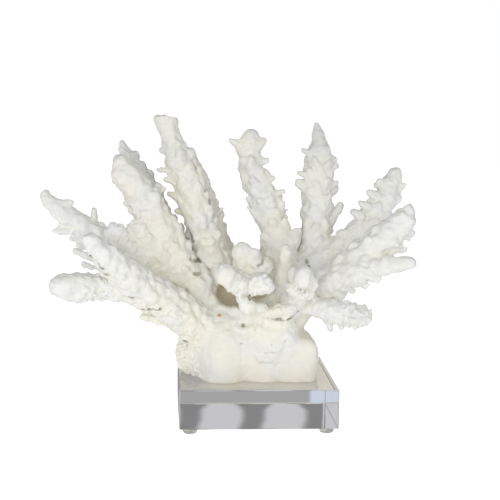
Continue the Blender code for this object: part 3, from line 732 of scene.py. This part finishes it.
def build_mesh(name, vertices, quads, shades):
    """A smooth mesh object in the scene, with a value for each shade at each vertex."""
    mesh = bpy.data.meshes.new(name)
    mesh.vertices.add(len(vertices))
    mesh.vertices.foreach_set("co", vertices.astype(np.float32).ravel())
    mesh.loops.add(quads.size)
    mesh.loops.foreach_set("vertex_index", quads.astype(np.int32).ravel())
    mesh.polygons.add(len(quads))
    mesh.polygons.foreach_set("loop_start", np.arange(0, quads.size, 4, dtype=np.int32))
    mesh.update(calc_edges=True)
    mesh.shade_smooth()
    for shade, values in shades.items():
        attribute = mesh.attributes.new(shade, "FLOAT", "POINT")
        attribute.data.foreach_set("value", values.astype(np.float32))
    return add_object(name, mesh)


def blend_shapes(shapes):
    """The field of all the shapes, the distances to the two nearest ones, and the nearest one's number."""
    field, nearest, second = (np.full(GRID.shape, FAR, np.float32) for _ in range(3))
    owner = np.full(GRID.shape, -1, np.int8)
    for number, (region, distance) in enumerate(shapes.values()):
        field[region] = smooth_min(field[region], distance, BRANCH_BLEND)
        closer = distance < nearest[region]
        second[region] = np.where(closer, nearest[region], np.minimum(second[region], distance))
        nearest[region] = np.minimum(nearest[region], distance)
        owner[region][closer] = number
    return field, nearest, second, owner


def cut_piece(field, region, distance, others):
    """The part of the field's surface that is nearest to one shape, closed just past its seams."""
    past = distance - others
    values = np.maximum(field[region] + SEAM_SLOPE * np.maximum(past, 0), past - SEAM_OVERLAP)
    for axis, end in product(range(3), (0, -1)):
        values[tuple(end if i == axis else slice(None) for i in range(3))] = FAR
    low = GRID.low + VOXEL * np.array([s.start for s in region])
    return largest_part(*surface_of(values, low))


def make_coral(to_frame):
    """The skins of the foot and the branches, by node."""
    shapes = {FOOT: foot_distance()}
    for name in BRANCHES:
        shapes["branch_" + name] = branch_distance(name)
    field, nearest, second, owner = blend_shapes(shapes)
    roughen(field, SWELLS, CALM_SWELLS, 0)
    draw = np.random.default_rng(SEED)
    grow_scales(field, draw)
    for root, tip, *radii in SPURS:
        add_tongue(field, np.array(root, float), np.array(tip, float), radii, SPUR_BLEND)
    clefts, specks = add_front_details(field, draw)
    roughen(field, GRAIN, CALM_GRAIN, len(SWELLS))
    height = GRID.axes(tuple(slice(0, n) for n in GRID.shape))[2]
    np.maximum(field, GAP - height, out=field)
    # Shares of solid round each point, which paint shade into creases and hollows.
    solid = box_share(field < 0, HOLLOW_REACH)
    tight = box_share(field < 0, CREASE_REACH)

    pieces = {}
    for number, (name, (region, distance)) in enumerate(shapes.items()):
        others = np.where(owner[region] == number, second[region], nearest[region])
        vertices, quads = cut_piece(field, region, distance, others)
        at = GRID.at(vertices)
        shades = {"hollow": solid[at], "crease": tight[at], **shade_and_specks_at(vertices, clefts, specks)}
        pieces[name] = build_mesh(name + "_skin", vertices * MM + to_frame, quads, shades)
    return pieces


class Nodes:
    """A short way to write a node tree."""

    def __init__(self, owner):
        owner.use_nodes = True
        self.tree = owner.node_tree
        self.tree.nodes.clear()

    def add(self, kind, inputs=None, **settings):
        node = self.tree.nodes.new("ShaderNode" + kind)
        for key, value in settings.items():
            setattr(node, key, value)
        for key, value in (inputs or {}).items():
            if isinstance(value, bpy.types.NodeSocket):
                self.tree.links.new(value, node.inputs[key])
            else:
                node.inputs[key].default_value = value
        return node

    def math(self, operation, *values):
        node = self.add("Math", dict(enumerate(values)), operation=operation)
        return node.outputs[0]

    def ramp(self, value, low, high, start=0.0, end=1.0):
        """A smooth step from start to end as the value goes from low to high."""
        inputs = {"Value": value, "From Min": low, "From Max": high, "To Min": start, "To Max": end}
        return self.add("MapRange", inputs, interpolation_type="SMOOTHSTEP").outputs[0]

    def mix(self, share, first, second):
        """The first colour at share 0, and the second at 1."""
        node = self.add("Mix", data_type="RGBA")
        for socket, value in (("Factor_Float", share), ("A_Color", first), ("B_Color", second)):
            target = next(s for s in node.inputs if s.identifier == socket)
            if isinstance(value, bpy.types.NodeSocket):
                self.tree.links.new(value, target)
            else:
                target.default_value = (*value, 1)
        return next(s for s in node.outputs if s.identifier == "Result_Color")

    def noise(self, place, scale, detail=2.0):
        inputs = {"Vector": place, "Scale": scale, "Detail": detail}
        return self.add("TexNoise", inputs).outputs["Fac"]

    def shade(self, inputs):
        """The material's one shader."""
        shader = self.add("BsdfPrincipled", inputs)
        self.add("OutputMaterial", {"Surface": shader.outputs[0]})

    def attribute(self, name):
        """A value of the mesh's vertices."""
        return self.add("Attribute", attribute_name=name).outputs["Fac"]


# The colours of the coral.
WHITE = (0.875, 0.885, 0.87)
# Grey for the painted shade higher up, and for a random mottle of the coral's own tone.
HEIGHT_SHADE_AND_MOTTLE_GREY = (0.71, 0.715, 0.705)
# Cream: the coral's own tone towards the middle, and warm painted shade in its recesses.
CREAM_AND_HOLLOW_SHADE = (0.885, 0.865, 0.775)
ROSE = (0.86, 0.77, 0.68)
# Olive painted shade for creases and hollows.
CREVICE_SHADE_OLIVE = (0.60, 0.57, 0.43)
# Tan painted shade for the dug hollows.
POCKET_SHADE_TAN = (0.60, 0.535, 0.41)
# Dark painted shade for the clefts.
CLEFT_SHADE_DARK = (0.42, 0.395, 0.32)
BROWN = (0.36, 0.29, 0.17)
RUST = (0.62, 0.43, 0.20)


def coral_colour(n, place, warmth):
    """Whitest where it stands out and cream towards the middle; painted shade makes it greyer higher up,
    olive and cream in crevices, tan in the hollows and dark in the clefts.
    """
    hollow, crease = n.attribute("hollow"), n.attribute("crease")
    lowered = n.add("VectorMath", {0: place, 1: (1, 1, 0.35)}, operation="MULTIPLY").outputs[0]
    reach = n.add("VectorMath", {0: lowered}, operation="LENGTH").outputs["Value"]
    inner = n.ramp(reach, 0.105, 0.055)
    creamy = n.ramp(n.noise(place, 32.0), 0.30, 0.60)
    creamy = n.math("MULTIPLY", creamy, n.math("MULTIPLY_ADD", inner, 1 - warmth, warmth))
    # Creamier where much solid is round a point: painted shade in recesses.
    creamy = n.math("MAXIMUM", creamy, n.math("MULTIPLY", n.ramp(hollow, 0.42, 0.66), 0.7))
    height = n.add("SeparateXYZ", {0: place}).outputs["Z"]
    # Greyer higher up: painted shade, as less light reaches the upper branches.
    colour = n.mix(n.ramp(height, 0.135, 0.19), WHITE, HEIGHT_SHADE_AND_MOTTLE_GREY)
    colour = n.mix(n.ramp(n.noise(place, 170.0, 3.0), 0.35, 0.65, 0.0, 0.45), colour, HEIGHT_SHADE_AND_MOTTLE_GREY)
    colour = n.mix(creamy, colour, CREAM_AND_HOLLOW_SHADE)
    colour = n.mix(n.ramp(n.noise(place, 21.0), 0.62, 0.75, 0.0, 0.35), colour, ROSE)
    # Olive where much solid is round a point: painted shade in creases and hollows.
    colour = n.mix(n.ramp(crease, 0.66, 0.90, 0.0, 0.4), colour, CREVICE_SHADE_OLIVE)
    colour = n.mix(n.ramp(hollow, 0.72, 0.95, 0.0, 0.7), colour, CREVICE_SHADE_OLIVE)
    spots = n.math("MULTIPLY", n.ramp(n.noise(place, 75.0), 0.66, 0.73), n.ramp(hollow, 0.60, 0.70))
    colour = n.mix(n.math("MULTIPLY", spots, 0.8), colour, BROWN)
    # Tan painted shade in the dug hollows.
    colour = n.mix(n.ramp(n.attribute("pocket_shade"), 0.0, 1.0), colour, POCKET_SHADE_TAN)
    # Dark painted shade in the clefts.
    colour = n.mix(n.ramp(n.attribute("cleft"), 0.0, 1.0, 0.0, 0.85), colour, CLEFT_SHADE_DARK)
    return n.mix(n.ramp(n.attribute("speck"), 0.3, 0.9), colour, RUST)


def coral_material(name, warmth):
    """Bleached, chalky coral with fine pores. The warmth is how creamy it stays far from the middle."""
    material = bpy.data.materials.new(name)
    n = Nodes(material)
    place = n.add("TexCoord").outputs["Object"]
    grain = n.noise(place, 900.0, 3.0)
    pores = n.noise(place, 380.0, 2.0)
    bump = n.add("Bump", {"Strength": 0.6, "Distance": 0.0004, "Height": grain}).outputs[0]
    pitted = {"Strength": 0.6, "Distance": 0.0008, "Height": pores, "Normal": bump}
    n.shade({
        "Base Color": coral_colour(n, place, warmth),
        "Roughness": n.ramp(pores, 0.3, 0.7, 0.78, 0.95),
        "Normal": n.add("Bump", pitted).outputs[0],
        "Specular IOR Level": 0.25,
    })
    return material


def clear_material(name, colour, roughness, waviness):
    """Clear plastic with faint smears on its polish."""
    material = bpy.data.materials.new(name)
    n = Nodes(material)
    place = n.add("TexCoord").outputs["Object"]
    smears = n.noise(place, 45.0, 4.0)
    bump = n.add("Bump", {"Strength": 0.3, "Distance": waviness, "Height": smears})
    n.shade({
        "Base Color": colour,
        "Roughness": n.ramp(smears, 0.45, 0.75, roughness, roughness * 2.5),
        "Normal": bump.outputs[0],
        "Transmission Weight": 1.0,
        "IOR": 1.49,
    })
    return material


BUMPER_STEPS = 48
# A bumper's outline from its glued face down to its middle underneath, as shares of its radius and height.
BUMPER_PROFILE = [
    (0, 1), (1, 1), (1, 0.68), (0.985, 0.5), (0.94, 0.3), (0.86, 0.12), (0.76, 0.02), (0.70, 0), (0, 0),
]
BUMPER_CREASE = math.radians(50)


def make_bumper(node):
    """A turned bumper in the place of its solid."""
    low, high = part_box(node)
    middle = (low + high) / 2
    radius, height = (high.x - low.x) / 2, high.z - low.z
    mesh = bpy.data.meshes.new(node + "_turned")
    points = [(r * radius, 0, low.z + z * height) for r, z in BUMPER_PROFILE]
    mesh.from_pydata(points, [(i, i + 1) for i in range(len(points) - 1)], [])
    piece = add_object(node + "_turned", mesh)
    piece.location = (middle.x, middle.y, 0)
    screw = piece.modifiers.new("turn", "SCREW")
    screw.steps = screw.render_steps = BUMPER_STEPS
    screw.use_merge_vertices = True
    screw.merge_threshold = 1e-6
    screw.use_smooth_shade = True
    bpy.context.view_layer.update()
    finished = bpy.data.meshes.new_from_object(piece.evaluated_get(bpy.context.evaluated_depsgraph_get()))
    piece.modifiers.clear()
    piece.data = finished
    finished.shade_smooth()
    finished.set_sharp_from_angle(angle=BUMPER_CREASE)
    return piece


CAMERA_PLACE = (-61.63, -821.03, 215.98)  # from the block's middle, and above the floor
YAW, PITCH, ROLL = 0.0703, 0.1255, 0.0128
CAMERA_LENS, CAMERA_SENSOR = 90.0, 36.0


def make_camera(block_middle):
    """The camera in front of the block, level but for a small roll."""
    level = math.cos(PITCH)
    forward = Vector((math.sin(YAW) * level, math.cos(YAW) * level, -math.sin(PITCH)))
    right = Vector((math.cos(YAW), -math.sin(YAW), 0))
    up = right.cross(forward)
    turned_right = right * math.cos(ROLL) + up * math.sin(ROLL)
    turned_up = up * math.cos(ROLL) - right * math.sin(ROLL)
    data = bpy.data.cameras.new("camera")
    data.lens, data.sensor_width = CAMERA_LENS, CAMERA_SENSOR
    camera = add_object("camera", data)
    matrix = Matrix((turned_right, turned_up, -forward)).transposed().to_4x4()
    matrix.translation = Vector(CAMERA_PLACE) * MM + Vector((block_middle.x, block_middle.y, 0))
    camera.matrix_world = matrix
    bpy.context.scene.camera = camera


LIGHT_PLACE, LIGHT_TARGET = (-0.35, -1.4, 0.25), (0, 0, 0.06)
LIGHT_SIZE, LIGHT_POWER = 1.0, 7.15


def make_light():
    """An area light in front that isn't seen through the clear block."""
    data = bpy.data.lights.new("front", "AREA")
    data.size = LIGHT_SIZE
    data.energy = LIGHT_POWER
    light = add_object("front", data)
    light.visible_transmission = False
    light.location = LIGHT_PLACE
    away = Vector(LIGHT_TARGET) - Vector(LIGHT_PLACE)
    light.rotation_euler = away.to_track_quat("-Z", "Y").to_euler()


# Painted reflections set in the world for rays through the clear block, tuned to this camera's view: grey all
# round, with light patches behind it and a pale one at its corner.
# A turn is an angle from straight back in radians, and a rise is the z of a direction.
PATCH_RATE, PATCH_PHASE = 121.0, -4.59  # of a sine over the turn
PATCH_EDGE = (-0.75, 0.15)  # the sine's values over which it fades
PATCH_TOP = (0.2505, 0.2446, -0.15, 0.5)  # the rises between which they narrow, and by how much
PATCH_FOOT = (0.256, 0.266, 0.0018, 0.005)  # and between which they lean
PATCH_DARK, PATCH_LIGHT = (0.198, 0.198, 0.203), (0.56, 0.56, 0.58)
ALL_LIGHT = (0.1305, 0.1325)  # the turns past which there is no more dark
HORIZON = (-0.01, 0.01)
UNDER_TOP = (-0.2338, -0.2346)  # between what the top shows and what the front does
TOP_TURNS, TOP_GREY, TOP_CREAM = (0.02, 0.05), (0.345, 0.345, 0.34), (0.59, 0.55, 0.45)
BAND_GREY = (0.35, 0.35, 0.357)
CORNER_TURNS, CORNER_BLUE = (0.119, 0.123), (0.60, 0.655, 0.765)
SIDE_TURNS, SIDE_GREY = (0.3, 0.4), (0.60, 0.61, 0.62)
# A painted reflection for glossy rays: cream, and grey low behind.
MIRRORED_CREAM, MIRRORED_GREY = (0.96, 0.90, 0.78), (0.36, 0.36, 0.365)
FROM_BELOW, FROM_ABOVE = (1.0, 1.0, 0.99), (0.54, 0.545, 0.55)


def block_painted_surroundings(n, turn, rise):
    """The painted grey and reflections that the clear block shows, by the direction in which a ray leaves it.
    """
    aside = n.math("ABSOLUTE", turn)
    lean = n.ramp(rise, *PATCH_FOOT)
    narrow = n.ramp(rise, *PATCH_TOP)
    wave = n.math("SINE", n.math("MULTIPLY_ADD", n.math("ADD", turn, lean), PATCH_RATE, PATCH_PHASE))
    patches = n.ramp(n.math("SUBTRACT", wave, narrow), *PATCH_EDGE)
    above = n.mix(n.math("MAXIMUM", patches, n.ramp(aside, *ALL_LIGHT)), PATCH_DARK, PATCH_LIGHT)
    under_top = n.ramp(rise, *UNDER_TOP)
    below = n.mix(under_top, n.mix(n.ramp(turn, *TOP_TURNS), TOP_GREY, TOP_CREAM), BAND_GREY)
    corner = n.math("MULTIPLY", n.ramp(aside, *CORNER_TURNS), under_top)
    pale = n.mix(n.ramp(aside, *SIDE_TURNS), CORNER_BLUE, SIDE_GREY)
    return n.mix(corner, n.mix(n.ramp(rise, *HORIZON), below, above), pale)


def soft_light(n, back, rise):
    """The light on the coral, stronger from the front than from behind and from below than from above."""
    front = n.ramp(back, 0.7, -0.9, 0.42, 1.15)
    light = n.mix(n.ramp(rise, -0.7, 0.9), FROM_BELOW, FROM_ABOVE)
    return n.add("VectorMath", {0: light, "Scale": front}, operation="SCALE").outputs["Vector"]


def make_world():
    """White to the eye, soft light for the coral, a painted cream reflection for glossy rays, and painted
    grey surroundings with light patches for the clear block.
    """
    world = bpy.data.worlds.new("studio")
    bpy.context.scene.world = world
    n = Nodes(world)
    direction = n.add("TexCoord").outputs["Generated"]
    aside, back, rise = n.add("SeparateXYZ", {0: direction}).outputs
    turn = n.math("ARCTAN2", aside, back)
    ray = n.add("LightPath").outputs
    low_behind = n.math("MULTIPLY", n.ramp(rise, 0.0, -0.05), n.ramp(back, 0.4, 0.6))
    mirrored = n.mix(low_behind, MIRRORED_CREAM, MIRRORED_GREY)
    colour = n.mix(ray["Is Glossy Ray"], soft_light(n, back, rise), mirrored)
    # Rays straight through the clear block see the painted surroundings.
    seen = n.math("MULTIPLY", ray["Is Transmission Ray"], n.math("LESS_THAN", ray["Diffuse Depth"], 0.5))
    colour = n.mix(seen, colour, block_painted_surroundings(n, turn, rise))
    colour = n.mix(ray["Is Camera Ray"], colour, (1, 1, 1))
    background = n.add("Background", {"Color": colour, "Strength": 1.0})
    n.add("OutputWorld", {"Surface": background.outputs[0]})


def make_floor():
    """A plain pale floor that the clear block doesn't show."""
    bpy.ops.mesh.primitive_plane_add(size=6)
    floor = bpy.context.object
    floor.name = "floor"
    material = bpy.data.materials.new("floor")
    n = Nodes(material)
    ray = n.add("LightPath").outputs
    n.shade({
        "Base Color": (0.92, 0.92, 0.92, 1),
        "Roughness": 1.0,
        "Specular IOR Level": 0.0,
        "Emission Color": (1, 1, 1, 1),
        "Emission Strength": n.math("MULTIPLY_ADD", ray["Is Camera Ray"], 0.4, 0.40),
    })
    floor.data.materials.append(material)
    floor.visible_transmission = False
    floor.visible_glossy = False


def dress(piece, material):
    """Gives a piece its one material."""
    piece.data.materials.clear()
    piece.data.materials.append(material)


def place_piece(piece, node, material):
    """Dresses a piece and puts it in the place of its solid."""
    dress(piece, material)
    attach(piece, "root")
    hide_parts(node)


def main():
    """Builds the scene."""
    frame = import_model()
    low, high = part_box("acrylic_block")
    block_middle = (low + high) / 2
    to_frame = np.array((block_middle.x, block_middle.y, high.z))
    coral = coral_material("coral", 0.35)
    foot = coral_material("coral_foot", 0.85)
    for node, piece in make_coral(to_frame).items():
        if node == FOOT:
            place_piece(piece, node, foot)
        else:
            place_piece(piece, node, coral)
    bumper = clear_material("bumper", (0.93, 0.93, 0.92, 1), 0.12, 0.0001)
    for node in sorted(frame["nodes"]):
        if node.startswith("bumper_"):
            place_piece(make_bumper(node), node, bumper)
    acrylic = clear_material("acrylic", (0.95, 0.955, 0.965, 1), 0.01, 0.00002)
    dress(frame["nodes"]["acrylic_block"], acrylic)
    make_camera(block_middle)
    make_floor()
    make_world()
    make_light()
    bpy.context.scene.view_settings.view_transform = "Standard"


main()
